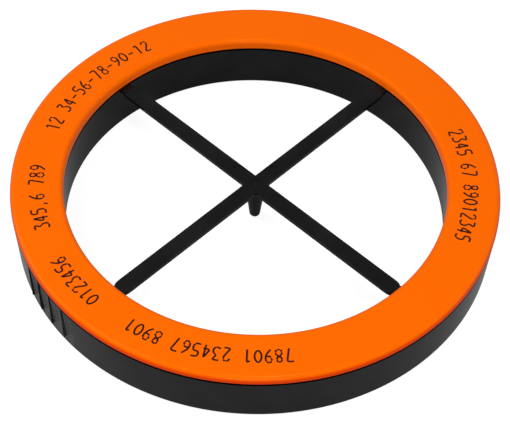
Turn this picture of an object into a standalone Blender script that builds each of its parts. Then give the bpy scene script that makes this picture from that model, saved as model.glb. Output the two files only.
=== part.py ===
# Underground cable marker: a round channel housing closed by a flat lid, a four-armed cross
# with a peg in the ring's hole, and a wound coil with a small circuit board in the channel.
# Metres, +Z up. The origin is the ring's middle, on the plane that the marker stands on.
import math

import bmesh
import bpy
from mathutils import Matrix, Vector

# The ring as a whole, measured over the lid
RING_RADIUS = 0.1050
RING_BAND_WIDTH = 0.0226
RING_HEIGHT = 0.0270

# Clearance between pieces that seat on or in each other
FIT_GAP = 0.0003
# How far a cutter, or a form that is joined on, runs past the surface that it meets
OVERRUN = 0.0005
# Distance within which a turned shape's first and last vertices are one
SEAM_MERGE = 0.00002

# Facets round a full turn
RING_STEPS = 96
COIL_STEPS = 72
PEG_STEPS = 24
MARK_STEPS = 20

# Lid
LID_PLATE = 0.0022
LID_SKIRT_WALL = 0.0018
LID_OUTER_SKIRT_DEPTH = 0.0033
LID_INNER_SKIRT_DEPTH = 0.0049
LID_OUTER_ROUND = 0.0026
LID_INNER_ROUND = 0.0022
LID_RIM_WALL = 0.0014
LID_ROUND_STEPS = 5

# Housing
HOUSING_WALL = 0.0028
HOUSING_FLOOR = 0.0024
OUTER_WALL_SETBACK = 0.0001
INNER_WALL_SETBACK = 0.0001
OUTER_WALL_DRAFT = 0.0011
INNER_WALL_DRAFT = 0.0005
SHADOW_GAP = 0.0010
SHADOW_GROOVE_DEPTH = 0.0030
BASE_OUTER_ROUND = 0.0012
BASE_INNER_ROUND = 0.0008
CHANNEL_ROUND = 0.0010
BASE_ROUND_STEPS = 4
CHANNEL_ROUND_STEPS = 2

# Grip ribs down the outer wall
GRIP_RIB_COUNT = 4
GRIP_RIB_FIRST_DEG = 206.5
GRIP_RIB_PITCH_DEG = 4.73
GRIP_RIB_WIDTH = 0.0009
GRIP_RIB_PROUD = 0.0003
GRIP_RIB_FOOT = 0.0045
GRIP_RIB_LEAN = 0.0003
GRIP_RIB_ROUND_STEPS = 4

# Cross: flat arms with a low crown on top and a stiffening rib below
ARM_COUNT = 4
ARM_FIRST_DEG = 45.0
ARM_WIDTH = 0.0070
ARM_THICKNESS = 0.0020
ARM_PLAY = 0.0004
HUB_FILLET = 0.0003
HUB_FILLET_STEPS = 4
CROWN_HEIGHT = 0.0006
CROWN_EDGE = 0.0001
CROWN_MARGIN = 0.0003
CROWN_START = 0.0165
CROWN_END_MARGIN = 0.0020
CROWN_HIP = 0.0030
ARM_RIB_WIDTH = 0.0016
ARM_RIB_DEPTH = 0.0032
ARM_RIB_END_DEPTH = 0.0012
ARM_RIB_END_MARGIN = 0.0012

# Arm ends: a rounded shoulder, a neck, a tongue through the wall and a head behind it
SHOULDER_LENGTH = 0.0032
SHOULDER_STEPS = 5
NECK_LENGTH = 0.0026
TONGUE_WIDTH = 0.0054
HEAD_WIDTH = 0.0078
HEAD_LENGTH = 0.0020

# Hub: ejector marks, a shallow round recess with a conical dimple, and the peg below
MARK_RADIUS = 0.0023
MARK_DEPTH = 0.0002
MARK_DISTANCE = 0.0116
HUB_RECESS_RADIUS = 0.0027
HUB_RECESS_DEPTH = 0.00025
DIMPLE_RADIUS = 0.0014
DIMPLE_DEPTH = 0.0018
PEG_ROOT_RADIUS = 0.0043
PEG_TIP_RADIUS = 0.0021
PEG_GROUND_GAP = 0.0010
PEG_TIP_STEPS = 5

# Coil and the saddles that it lies in
COIL_WIDTH = 0.0040
COIL_HEIGHT = 0.0055
COIL_ROUND = 0.0010
COIL_ROUND_STEPS = 2
COIL_WALL_GAP = 0.0010
SADDLE_COUNT = 8
SADDLE_WIDTH = 0.0020
SADDLE_HEIGHT = 0.0026
SADDLE_POST_WALL = 0.0018
SADDLE_POST_SHORTFALL = 0.0010

# Tape bands round the coil
TAPE_COUNT = 8
TAPE_WIDTH = 0.0060
TAPE_THICKNESS = 0.0003

# Circuit board, upright in two slotted guides beside the inner wall
BOARD_DEG = 180.0
BOARD_LENGTH = 0.0340
BOARD_HEIGHT = 0.0120
BOARD_THICKNESS = 0.0016
BOARD_CORNER = 0.0010
BOARD_WALL_GAP = 0.0012
GUIDE_LEG = 0.0012
GUIDE_BACK = 0.0014
GUIDE_GRIP = 0.0022
GUIDE_HEIGHT = 0.0090

# Parts on the board: place along the board, then height above its lower edge
CHIP_LENGTH = 0.0050
CHIP_HEIGHT = 0.0040
CHIP_THICKNESS = 0.0015
CHIP_ALONG = -0.0060
CHIP_UP = 0.0056
CHIP_PIN_COUNT = 4
CHIP_PIN_WIDTH = 0.0004
CHIP_PIN_REACH = 0.0010
CHIP_PIN_PITCH = 0.00127
CHIP_PIN_THICKNESS = 0.0005
CAPACITOR_LENGTH = 0.0074
CAPACITOR_HEIGHT = 0.0060
CAPACITOR_THICKNESS = 0.0026
CAPACITOR_ALONG = 0.0040
CAPACITOR_UP = 0.0056
CAPACITOR_BEVEL = 0.0004
TRIM_COUNT = 3
TRIM_LENGTH = 0.0013
TRIM_HEIGHT = 0.0020
TRIM_THICKNESS = 0.0009
TRIM_ALONG = -0.0012
TRIM_UP = 0.0030
TRIM_PITCH = 0.0028
TRIM_BEVEL = 0.0001

# Leads from the coil to the board's two ends
LEAD_DIAMETER = 0.0008
LEAD_START_DEG = 15.0
LEAD_LEAVE_DEG = 11.5
LEAD_PAD_INSET = 0.0060
LEAD_PAD_DROP = 0.0018
LEAD_REACH = 0.0030
LEAD_POINTS_PER_SPAN = 4

# Sizes that follow from those above
lid_inner_radius = RING_RADIUS - RING_BAND_WIDTH
lid_underside = RING_HEIGHT - LID_PLATE
lid_outer_edge = RING_HEIGHT - LID_OUTER_SKIRT_DEPTH
lid_inner_edge = RING_HEIGHT - LID_INNER_SKIRT_DEPTH
lid_skirt_outer_bore = RING_RADIUS - LID_SKIRT_WALL
lid_skirt_inner_face = lid_inner_radius + LID_SKIRT_WALL

outer_wall_radius = RING_RADIUS - OUTER_WALL_SETBACK
inner_wall_radius = lid_inner_radius + INNER_WALL_SETBACK
channel_outer_radius = outer_wall_radius - HOUSING_WALL
channel_inner_radius = inner_wall_radius + HOUSING_WALL
outer_shoulder = lid_outer_edge - SHADOW_GAP
inner_shoulder = lid_inner_edge - SHADOW_GAP
upstand_top = lid_underside - FIT_GAP
outer_upstand_radius = lid_skirt_outer_bore - FIT_GAP
inner_upstand_radius = lid_skirt_inner_face + FIT_GAP
groove_fall = SHADOW_GROOVE_DEPTH / (outer_wall_radius - outer_upstand_radius)

arm_top = lid_inner_edge - FIT_GAP - ARM_PLAY
arm_bottom = arm_top - ARM_THICKNESS
head_start = channel_inner_radius + FIT_GAP
neck_start = inner_wall_radius - NECK_LENGTH
shoulder_start = neck_start - SHOULDER_LENGTH

coil_outer_radius = channel_outer_radius - COIL_WALL_GAP
coil_inner_radius = coil_outer_radius - COIL_WIDTH
coil_middle_radius = coil_outer_radius - COIL_WIDTH / 2
saddle_top = HOUSING_FLOOR + SADDLE_HEIGHT
coil_bottom = saddle_top + FIT_GAP
coil_top = coil_bottom + COIL_HEIGHT

board_bottom = HOUSING_FLOOR + FIT_GAP
board_inner_face = channel_inner_radius + BOARD_WALL_GAP
board_outer_face = board_inner_face + BOARD_THICKNESS


def clear_scene():
    for old in list(bpy.data.objects):
        bpy.data.objects.remove(old, do_unlink=True)


def plastic(name, colour, roughness, metallic=0.0):
    material = bpy.data.materials.new(name)
    material.use_nodes = True
    shader = material.node_tree.nodes["Principled BSDF"]
    shader.inputs["Base Color"].default_value = (*colour, 1.0)
    shader.inputs["Roughness"].default_value = roughness
    shader.inputs["Metallic"].default_value = metallic
    material.diffuse_color = (*colour, 1.0)
    return material


def add_object(name, bm):
    mesh = bpy.data.meshes.new(name)
    bm.to_mesh(mesh)
    bm.free()
    made = bpy.data.objects.new(name, mesh)
    bpy.context.scene.collection.objects.link(made)
    return made


def finish(made, material, smooth_deg=35.0):
    made.data.materials.append(material)
    made.data.shade_smooth()
    made.data.set_sharp_from_angle(angle=math.radians(smooth_deg))
    return made


def boolean(target, tool, operation):
    modifier = target.modifiers.new(tool.name, "BOOLEAN")
    modifier.operation = operation
    modifier.solver = "EXACT"
    modifier.object = tool
    tool.hide_render = True
    tool.display_type = "WIRE"


def arc(centre, radius, start_deg, end_deg, steps):
    # points on an arc, both ends included
    points = []
    for i in range(steps + 1):
        angle = math.radians(start_deg + (end_deg - start_deg) * i / steps)
        points.append((centre[0] + radius * math.cos(angle), centre[1] + radius * math.sin(angle)))
    return points


def turned(name, profile, closed, steps):
    # (radius, height) points, from the top down the outer side, swept once round +Z
    bm = bmesh.new()
    verts = [bm.verts.new((radius, 0, height)) for radius, height in profile]
    for first, second in zip(verts, verts[1:]):
        bm.edges.new((first, second))
    if closed:
        bm.edges.new((verts[-1], verts[0]))
    made = add_object(name, bm)
    screw = made.modifiers.new("Turn", "SCREW")
    screw.axis = "Z"
    screw.steps = steps
    screw.render_steps = steps
    screw.use_merge_vertices = True
    screw.merge_threshold = SEAM_MERGE
    return made


def add_prism(bm, outline, low, high, turn_deg=0.0, fall=0.0, lean=0.0):
    # an outline drawn anticlockwise in XY, raised from low to high and turned about +Z; its top
    # can fall towards the axis by a share of the way inwards, and its foot can lean in
    turn = Matrix.Rotation(math.radians(turn_deg), 4, "Z")
    reach = max(x for x, y in outline)
    face = bm.faces.new([bm.verts.new(turn @ Vector((x - lean, y, low))) for x, y in outline])
    face.normal_flip()
    raised = bmesh.ops.extrude_face_region(bm, geom=[face], use_keep_orig=True)
    top = [item for item in raised["geom"] if isinstance(item, bmesh.types.BMVert)]
    for vert in top:
        vert.co += turn @ Vector((lean, 0, 0))
        inward = reach - (turn.inverted() @ vert.co).x
        vert.co.z = high - fall * inward
    bmesh.ops.recalc_face_normals(bm, faces=bm.faces)


def add_hull(bm, corners, turn_deg=0.0):
    # the convex solid through the given corners, turned about +Z
    turn = Matrix.Rotation(math.radians(turn_deg), 4, "Z")
    verts = [bm.verts.new(turn @ Vector(corner)) for corner in corners]
    bmesh.ops.convex_hull(bm, input=verts)


def rectangle(x_low, x_high, y_low, y_high):
    return [(x_low, y_low), (x_high, y_low), (x_high, y_high), (x_low, y_high)]


def ring_angles(count, first_deg):
    return [first_deg + 360.0 * i / count for i in range(count)]


def make_lid(material):
    outer_rim = channel_outer_radius - FIT_GAP
    inner_rim = channel_inner_radius + FIT_GAP
    outer_centre = (RING_RADIUS - LID_OUTER_ROUND, RING_HEIGHT - LID_OUTER_ROUND)
    inner_centre = (lid_inner_radius + LID_INNER_ROUND, RING_HEIGHT - LID_INNER_ROUND)
    profile = arc(outer_centre, LID_OUTER_ROUND, 90, 0, LID_ROUND_STEPS)
    profile += [
        (RING_RADIUS, lid_outer_edge),
        (lid_skirt_outer_bore, lid_outer_edge),
        (lid_skirt_outer_bore, lid_underside),
        (outer_rim, lid_underside),
        (outer_rim, lid_inner_edge),
        (outer_rim - LID_RIM_WALL, lid_inner_edge),
        (outer_rim - LID_RIM_WALL, lid_underside),
        (inner_rim + LID_RIM_WALL, lid_underside),
        (inner_rim + LID_RIM_WALL, lid_inner_edge),
        (inner_rim, lid_inner_edge),
        (inner_rim, lid_underside),
        (lid_skirt_inner_face, lid_underside),
        (lid_skirt_inner_face, lid_inner_edge),
        (lid_inner_radius, lid_inner_edge),
    ]
    profile += arc(inner_centre, LID_INNER_ROUND, 180, 90, LID_ROUND_STEPS)
    return finish(turned("lid", profile, True, RING_STEPS), material)


def housing_profile():
    # behind each wall's upper lip the shoulder falls to a groove, so the gap under the lid is dark
    outer_foot = outer_wall_radius - OUTER_WALL_DRAFT
    inner_foot = inner_wall_radius + INNER_WALL_DRAFT
    profile = [
        (outer_upstand_radius, upstand_top),
        (outer_upstand_radius, outer_shoulder - SHADOW_GROOVE_DEPTH),
        (outer_wall_radius, outer_shoulder),
    ]
    outer_centre = (outer_foot - BASE_OUTER_ROUND, BASE_OUTER_ROUND)
    inner_centre = (inner_foot + BASE_INNER_ROUND, BASE_INNER_ROUND)
    profile += arc(outer_centre, BASE_OUTER_ROUND, 0, -90, BASE_ROUND_STEPS)
    profile += arc(inner_centre, BASE_INNER_ROUND, -90, -180, BASE_ROUND_STEPS)
    profile += [
        (inner_wall_radius, inner_shoulder),
        (inner_upstand_radius, inner_shoulder - SHADOW_GROOVE_DEPTH),
        (inner_upstand_radius, upstand_top),
        (channel_inner_radius, upstand_top),
    ]
    channel_floor = HOUSING_FLOOR + CHANNEL_ROUND
    near_centre = (channel_inner_radius + CHANNEL_ROUND, channel_floor)
    far_centre = (channel_outer_radius - CHANNEL_ROUND, channel_floor)
    profile += arc(near_centre, CHANNEL_ROUND, 180, 270, CHANNEL_ROUND_STEPS)
    profile += arc(far_centre, CHANNEL_ROUND, -90, 0, CHANNEL_ROUND_STEPS)
    profile.append((channel_outer_radius, upstand_top))
    return profile


def grip_ribs():
    # half-round bars standing on the outer wall, with tops that fall with the groove behind and
    # feet that lean in after the wall's draft
    bm = bmesh.new()
    crest = outer_wall_radius + GRIP_RIB_PROUD
    half = GRIP_RIB_WIDTH / 2
    root = outer_wall_radius - OUTER_WALL_DRAFT - OVERRUN
    outline = [(root, -half)] + arc((crest - half, 0), half, -90, 90, GRIP_RIB_ROUND_STEPS)
    outline.append((root, half))
    for i in range(GRIP_RIB_COUNT):
        turn = GRIP_RIB_FIRST_DEG + GRIP_RIB_PITCH_DEG * i
        add_prism(bm, outline, GRIP_RIB_FOOT, outer_shoulder - FIT_GAP, turn, groove_fall,
                  GRIP_RIB_LEAN)
    return add_object("grip_rib_forms", bm)


def coil_saddles():
    # a low web under the coil with a post at the coil's inner side
    bm = bmesh.new()
    half = SADDLE_WIDTH / 2
    post_face = coil_inner_radius - FIT_GAP
    post_top = coil_top - SADDLE_POST_SHORTFALL
    sunk = HOUSING_FLOOR - OVERRUN
    section = [
        (post_face - SADDLE_POST_WALL, sunk),
        (channel_outer_radius + OVERRUN, sunk),
        (channel_outer_radius + OVERRUN, saddle_top),
        (post_face, saddle_top),
        (post_face, post_top),
        (post_face - SADDLE_POST_WALL, post_top),
    ]
    for turn_deg in ring_angles(SADDLE_COUNT, 180.0 / SADDLE_COUNT):
        turn = Matrix.Rotation(math.radians(turn_deg), 4, "Z")
        verts = [bm.verts.new(turn @ Vector((x, -half, z))) for x, z in section]
        face = bm.faces.new(verts)
        raised = bmesh.ops.extrude_face_region(bm, geom=[face], use_keep_orig=True)
        moved = [item for item in raised["geom"] if isinstance(item, bmesh.types.BMVert)]
        bmesh.ops.translate(bm, verts=moved, vec=turn @ Vector((0, SADDLE_WIDTH, 0)))
    bmesh.ops.recalc_face_normals(bm, faces=bm.faces)
    return add_object("coil_saddle_forms", bm)


def board_guides():
    # a channel-shaped post at each end of the board, open towards it
    bm = bmesh.new()
    x_low = board_inner_face - FIT_GAP - GUIDE_LEG
    x_slot_low = board_inner_face - FIT_GAP
    x_slot_high = board_outer_face + FIT_GAP
    x_high = x_slot_high + GUIDE_LEG
    slot_end = BOARD_LENGTH / 2 + FIT_GAP
    mouth = BOARD_LENGTH / 2 - GUIDE_GRIP
    back = slot_end + GUIDE_BACK
    outline = [
        (x_low, mouth),
        (x_slot_low, mouth),
        (x_slot_low, slot_end),
        (x_slot_high, slot_end),
        (x_slot_high, mouth),
        (x_high, mouth),
        (x_high, back),
        (x_low, back),
    ]
    mirrored = [(x, -y) for x, y in reversed(outline)]
    low = HOUSING_FLOOR - OVERRUN
    high = HOUSING_FLOOR + GUIDE_HEIGHT
    for shape in (outline, mirrored):
        add_prism(bm, shape, low, high, BOARD_DEG)
    return add_object("board_guide_forms", bm)


def tongue_notches():
    bm = bmesh.new()
    half = TONGUE_WIDTH / 2 + FIT_GAP
    outline = rectangle(inner_wall_radius - OVERRUN, channel_inner_radius + OVERRUN, -half, half)
    for turn_deg in ring_angles(ARM_COUNT, ARM_FIRST_DEG):
        add_prism(bm, outline, arm_bottom - FIT_GAP, upstand_top + OVERRUN, turn_deg)
    return add_object("tongue_notch_cutters", bm)


def make_housing(material):
    housing = turned("housing", housing_profile(), True, RING_STEPS)
    boolean(housing, coil_saddles(), "UNION")
    boolean(housing, board_guides(), "UNION")
    boolean(housing, grip_ribs(), "UNION")
    boolean(housing, tongue_notches(), "DIFFERENCE")
    return finish(housing, material)


def arm_outline():
    # one arm along +X, from its right side round its head to the fillet at its left
    half = ARM_WIDTH / 2
    tongue = TONGUE_WIDTH / 2
    head = HEAD_WIDTH / 2
    right = []
    for i in range(SHOULDER_STEPS + 1):
        angle = math.radians(90.0 * i / SHOULDER_STEPS)
        x = shoulder_start + SHOULDER_LENGTH * math.sin(angle)
        right.append((x, -tongue - (half - tongue) * math.cos(angle)))
    right += [(head_start, -tongue), (head_start, -head), (head_start + HEAD_LENGTH, -head)]
    left = [(x, -y) for x, y in reversed(right)]
    corner = half + HUB_FILLET
    return right + left + arc((corner, corner), HUB_FILLET, 270, 180, HUB_FILLET_STEPS)


def cross_blank():
    outline = []
    for turn_deg in ring_angles(ARM_COUNT, ARM_FIRST_DEG):
        turn = Matrix.Rotation(math.radians(turn_deg), 2)
        outline += [tuple(turn @ Vector(point)) for point in arm_outline()]
    bm = bmesh.new()
    add_prism(bm, outline, arm_bottom, arm_top)
    return add_object("cross", bm)


def arm_crowns():
    # a low hipped roof along each arm, between the ejector mark and the shoulder
    bm = bmesh.new()
    half = ARM_WIDTH / 2 - CROWN_MARGIN
    x_low = CROWN_START
    x_high = shoulder_start - CROWN_END_MARGIN
    corners = []
    for z in (arm_top - OVERRUN, arm_top + CROWN_EDGE):
        corners += [(x, y, z) for x, y in rectangle(x_low, x_high, -half, half)]
    corners += [(x_low + CROWN_HIP, 0, arm_top + CROWN_HEIGHT)]
    corners += [(x_high - CROWN_HIP, 0, arm_top + CROWN_HEIGHT)]
    for turn_deg in ring_angles(ARM_COUNT, ARM_FIRST_DEG):
        add_hull(bm, corners, turn_deg)
    return add_object("arm_crown_forms", bm)


def arm_ribs():
    # a rib under each arm's middle, shallower towards the ring
    bm = bmesh.new()
    half = ARM_RIB_WIDTH / 2
    x_low = PEG_TIP_RADIUS
    x_high = shoulder_start - ARM_RIB_END_MARGIN
    corners = []
    for y in (-half, half):
        corners.append((x_low, y, arm_bottom + OVERRUN))
        corners.append((x_high, y, arm_bottom + OVERRUN))
        corners.append((x_low, y, arm_bottom - ARM_RIB_DEPTH))
        corners.append((x_high, y, arm_bottom - ARM_RIB_END_DEPTH))
    for turn_deg in ring_angles(ARM_COUNT, ARM_FIRST_DEG):
        add_hull(bm, corners, turn_deg)
    return add_object("arm_rib_forms", bm)


def peg():
    # a tapered round peg whose lower end is a ball
    ball = (0, PEG_GROUND_GAP + PEG_TIP_RADIUS)
    drop = arm_bottom - ball[1]
    reach = math.hypot(PEG_ROOT_RADIUS, drop)
    lean = math.atan2(PEG_ROOT_RADIUS, drop) - math.asin(PEG_TIP_RADIUS / reach)
    start_deg = math.degrees(-lean)
    profile = [(0, arm_bottom + OVERRUN), (PEG_ROOT_RADIUS, arm_bottom + OVERRUN)]
    profile.append((PEG_ROOT_RADIUS, arm_bottom))
    profile += arc(ball, PEG_TIP_RADIUS, start_deg, -90, PEG_TIP_STEPS)[:-1]
    profile.append((0, PEG_GROUND_GAP))
    return turned("peg_form", profile, False, PEG_STEPS)


def hub_cutters():
    bm = bmesh.new()
    height = MARK_DEPTH + OVERRUN
    for turn_deg in ring_angles(ARM_COUNT, ARM_FIRST_DEG):
        turn = Matrix.Rotation(math.radians(turn_deg), 4, "Z")
        middle = Vector((MARK_DISTANCE, 0, arm_top - MARK_DEPTH + height / 2))
        bmesh.ops.create_cone(
            bm, cap_ends=True, segments=MARK_STEPS, radius1=MARK_RADIUS, radius2=MARK_RADIUS,
            depth=height, matrix=turn @ Matrix.Translation(middle))
    height = HUB_RECESS_DEPTH + OVERRUN
    middle = Vector((0, 0, arm_top - HUB_RECESS_DEPTH + height / 2))
    bmesh.ops.create_cone(
        bm, cap_ends=True, segments=PEG_STEPS, radius1=HUB_RECESS_RADIUS,
        radius2=HUB_RECESS_RADIUS, depth=height, matrix=Matrix.Translation(middle))
    return add_object("hub_mark_cutters", bm)


def dimple_cutter():
    # a cone, point down, whose side meets the recess's floor at the dimple's radius
    floor = arm_top - HUB_RECESS_DEPTH
    rise = HUB_RECESS_DEPTH / 2
    top_radius = DIMPLE_RADIUS * (DIMPLE_DEPTH + rise) / DIMPLE_DEPTH
    profile = [(0, floor + rise), (top_radius, floor + rise), (0, floor - DIMPLE_DEPTH)]
    return turned("dimple_cutter", profile, False, PEG_STEPS)


def make_cross(material):
    cross = cross_blank()
    boolean(cross, arm_crowns(), "UNION")
    boolean(cross, arm_ribs(), "UNION")
    boolean(cross, peg(), "UNION")
    boolean(cross, hub_cutters(), "DIFFERENCE")
    boolean(cross, dimple_cutter(), "DIFFERENCE")
    return finish(cross, material)


def make_coil(material):
    # the finished winding: every turn of wire in one rounded bundle
    outer = coil_outer_radius - COIL_ROUND
    inner = coil_inner_radius + COIL_ROUND
    high = coil_top - COIL_ROUND
    low = coil_bottom + COIL_ROUND
    profile = arc((outer, high), COIL_ROUND, 90, 0, COIL_ROUND_STEPS)
    profile += arc((outer, low), COIL_ROUND, 0, -90, COIL_ROUND_STEPS)
    profile += arc((inner, low), COIL_ROUND, -90, -180, COIL_ROUND_STEPS)
    profile += arc((inner, high), COIL_ROUND, 180, 90, COIL_ROUND_STEPS)
    return finish(turned("coil", profile, True, COIL_STEPS), material)


def make_tapes(material):
    # a thin sleeve round the bundle, midway between two saddles
    for i, turn_deg in enumerate(ring_angles(TAPE_COUNT, 0.0)):
        bm = bmesh.new()
        low = Vector((coil_inner_radius - FIT_GAP, -TAPE_WIDTH / 2, coil_bottom - FIT_GAP))
        high = Vector((coil_outer_radius + FIT_GAP, TAPE_WIDTH / 2, coil_top + FIT_GAP))
        loop = [(low.x, low.z), (high.x, low.z), (high.x, high.z), (low.x, high.z)]
        front = [bm.verts.new((x, low.y, z)) for x, z in loop]
        back = [bm.verts.new((x, high.y, z)) for x, z in loop]
        for a in range(len(loop)):
            b = (a + 1) % len(loop)
            bm.faces.new((front[a], front[b], back[b], back[a]))
        bmesh.ops.recalc_face_normals(bm, faces=bm.faces)
        tape = add_object(f"coil_tape_{i + 1}", bm)
        wall = tape.modifiers.new("Tape", "SOLIDIFY")
        wall.thickness = TAPE_THICKNESS
        wall.offset = 1.0
        wall.use_even_offset = True
        tape.rotation_euler.z = math.radians(turn_deg)
        finish(tape, material)


def make_board(material):
    half = BOARD_LENGTH / 2
    high = board_bottom + BOARD_HEIGHT
    cut = BOARD_CORNER
    outline = [
        (-half, board_bottom), (half, board_bottom), (half, high - cut), (half - cut, high),
        (cut - half, high), (-half, high - cut)]
    bm = bmesh.new()
    bm.faces.new([bm.verts.new((board_inner_face, y, z)) for y, z in outline])
    raised = bmesh.ops.extrude_face_region(bm, geom=bm.faces[:], use_keep_orig=True)
    moved = [item for item in raised["geom"] if isinstance(item, bmesh.types.BMVert)]
    bmesh.ops.translate(bm, verts=moved, vec=(BOARD_THICKNESS, 0, 0))
    bmesh.ops.recalc_face_normals(bm, faces=bm.faces)
    board = add_object("circuit_board", bm)
    board.rotation_euler.z = math.radians(BOARD_DEG)
    return finish(board, material)


def block_on_board(name, along, up, length, height, thickness, bevel, material):
    # a block whose back lies on the board's outer face
    bm = bmesh.new()
    bmesh.ops.create_cube(bm, size=1.0)
    bmesh.ops.scale(bm, vec=(thickness, length, height), verts=bm.verts)
    block = add_object(name, bm)
    turn = Matrix.Rotation(math.radians(BOARD_DEG), 4, "Z")
    out = board_outer_face + FIT_GAP + thickness / 2
    block.location = turn @ Vector((out, along, board_bottom + up))
    block.rotation_euler.z = math.radians(BOARD_DEG)
    if bevel:
        edge = block.modifiers.new("Edges", "BEVEL")
        edge.width = bevel
        edge.segments = 1
    return finish(block, material)


def make_chip(material):
    chip = block_on_board(
        "marker_chip", CHIP_ALONG, CHIP_UP, CHIP_LENGTH, CHIP_HEIGHT, CHIP_THICKNESS, 0, material)
    bm = bmesh.new()
    span = CHIP_HEIGHT / 2 + CHIP_PIN_REACH
    first = -CHIP_PIN_PITCH * (CHIP_PIN_COUNT - 1) / 2
    foot = board_outer_face + FIT_GAP
    middle = board_bottom + CHIP_UP
    inside = CHIP_HEIGHT / 2 - OVERRUN
    for i in range(CHIP_PIN_COUNT):
        y = CHIP_ALONG + first + CHIP_PIN_PITCH * i
        outline = rectangle(
            foot, foot + CHIP_PIN_THICKNESS, y - CHIP_PIN_WIDTH / 2, y + CHIP_PIN_WIDTH / 2)
        add_prism(bm, outline, middle - span, middle - inside, BOARD_DEG)
        add_prism(bm, outline, middle + inside, middle + span, BOARD_DEG)
    boolean(chip, add_object("chip_pin_forms", bm), "UNION")
    return chip


def make_board_parts(capacitor, ceramic):
    block_on_board(
        "main_capacitor", CAPACITOR_ALONG, CAPACITOR_UP, CAPACITOR_LENGTH, CAPACITOR_HEIGHT,
        CAPACITOR_THICKNESS, CAPACITOR_BEVEL, capacitor)
    for i in range(TRIM_COUNT):
        block_on_board(
            f"trim_capacitor_{i + 1}", TRIM_ALONG, TRIM_UP + TRIM_PITCH * i, TRIM_LENGTH,
            TRIM_HEIGHT, TRIM_THICKNESS, TRIM_BEVEL, ceramic)


def smooth_route(points, per_span):
    # points read from a smooth curve through the given ones
    ends = [points[0] * 2 - points[1]] + points + [points[-1] * 2 - points[-2]]
    route = []
    for i in range(1, len(ends) - 2):
        before, start, end, after = ends[i - 1:i + 3]
        for k in range(per_span):
            t = k / per_span
            route.append(
                (start * 2 + (end - before) * t + (before * 2 - start * 5 + end * 4 - after) * t**2
                 + (start * 3 - before - end * 3 + after) * t**3) / 2)
    route.append(points[-1])
    return route


def make_lead(name, side, material):
    # from the top of the coil, down and in to the board's face
    radius = LEAD_DIAMETER / 2
    over_coil = coil_top + FIT_GAP + radius
    pad_along = side * (BOARD_LENGTH / 2 - LEAD_PAD_INSET)
    pad_height = board_bottom + BOARD_HEIGHT - LEAD_PAD_DROP
    start = math.radians(side * LEAD_START_DEG)
    leave = math.radians(side * LEAD_LEAVE_DEG)
    points = [
        Vector((coil_middle_radius * math.cos(a), coil_middle_radius * math.sin(a), over_coil))
        for a in (start, leave)]
    face = board_outer_face + FIT_GAP
    points.append(Vector((face + LEAD_REACH, pad_along, pad_height)))
    points.append(Vector((face, pad_along, pad_height)))
    curve = bpy.data.curves.new(name, "CURVE")
    curve.dimensions = "3D"
    curve.bevel_depth = radius
    curve.bevel_resolution = 2
    curve.use_fill_caps = True
    spline = curve.splines.new("POLY")
    route = smooth_route(points, LEAD_POINTS_PER_SPAN)
    spline.points.add(len(route) - 1)
    for point, place in zip(spline.points, route):
        point.co = (*place, 1.0)
    curve.materials.append(material)
    lead = bpy.data.objects.new(name, curve)
    bpy.context.scene.collection.objects.link(lead)
    lead.rotation_euler.z = math.radians(BOARD_DEG)
    return lead


def main():
    clear_scene()
    black = plastic("black_plastic", (0.018, 0.018, 0.020), 0.38)
    orange = plastic("orange_plastic", (1.0, 0.156, 0.002), 0.42)
    copper = plastic("enamelled_copper", (0.62, 0.22, 0.08), 0.35, 0.9)
    tape = plastic("yellow_tape", (0.72, 0.50, 0.06), 0.45)
    board = plastic("board_laminate", (0.02, 0.16, 0.06), 0.40)
    moulded = plastic("chip_moulding", (0.03, 0.03, 0.035), 0.50)
    film = plastic("film_capacitor_case", (0.55, 0.05, 0.03), 0.40)
    ceramic = plastic("ceramic", (0.50, 0.34, 0.18), 0.55)
    make_housing(black)
    make_lid(orange)
    make_cross(black)
    make_coil(copper)
    make_tapes(tape)
    make_board(board)
    make_chip(moulded)
    make_board_parts(film, ceramic)
    make_lead("coil_lead_start", -1, copper)
    make_lead("coil_lead_end", 1, copper)


main()
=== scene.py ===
import math

import bmesh
import bpy
from mathutils import Euler, Matrix, Vector


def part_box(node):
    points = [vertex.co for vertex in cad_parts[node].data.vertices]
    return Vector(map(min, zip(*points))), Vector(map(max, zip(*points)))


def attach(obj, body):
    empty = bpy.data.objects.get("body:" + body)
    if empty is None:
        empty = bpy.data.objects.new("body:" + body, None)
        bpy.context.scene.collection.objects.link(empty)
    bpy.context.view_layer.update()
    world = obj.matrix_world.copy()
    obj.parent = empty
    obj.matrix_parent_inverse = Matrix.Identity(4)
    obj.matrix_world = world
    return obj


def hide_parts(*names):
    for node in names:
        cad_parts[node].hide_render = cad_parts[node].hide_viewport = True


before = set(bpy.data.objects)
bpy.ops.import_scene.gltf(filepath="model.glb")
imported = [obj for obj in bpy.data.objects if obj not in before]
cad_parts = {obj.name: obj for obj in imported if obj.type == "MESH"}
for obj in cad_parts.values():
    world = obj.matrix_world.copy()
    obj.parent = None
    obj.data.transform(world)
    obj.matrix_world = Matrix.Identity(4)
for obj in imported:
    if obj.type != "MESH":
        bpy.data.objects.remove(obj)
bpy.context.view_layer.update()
print("cable marker: frame loaded,", len(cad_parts), "nodes")


# Selecting and shaping

workshop = {
    "mergeWithin": 0.00001,   # metres, as every size here is
    "findWithin": 0.00005,    # how near a part has to be to count as at a place
    "facing": 0.9,            # how squarely a face has to look the way that is asked for
    "clearance": 0.0003,      # between pieces that seat on each other
    "overrun": 0.0005,        # how far a cutter passes the face that it cuts
    "leastLeft": 0.1,         # of a piece's volume, after a Boolean
    "attempts": 8,            # at a Boolean
}


def leaveEdit():
    if bpy.context.mode != "OBJECT":
        bpy.ops.object.mode_set(mode="OBJECT")


def startFresh():
    leaveEdit()
    bpy.ops.object.select_all(action="DESELECT")


def activate(piece):
    startFresh()
    piece.select_set(True)
    bpy.context.view_layer.objects.active = piece


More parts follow.
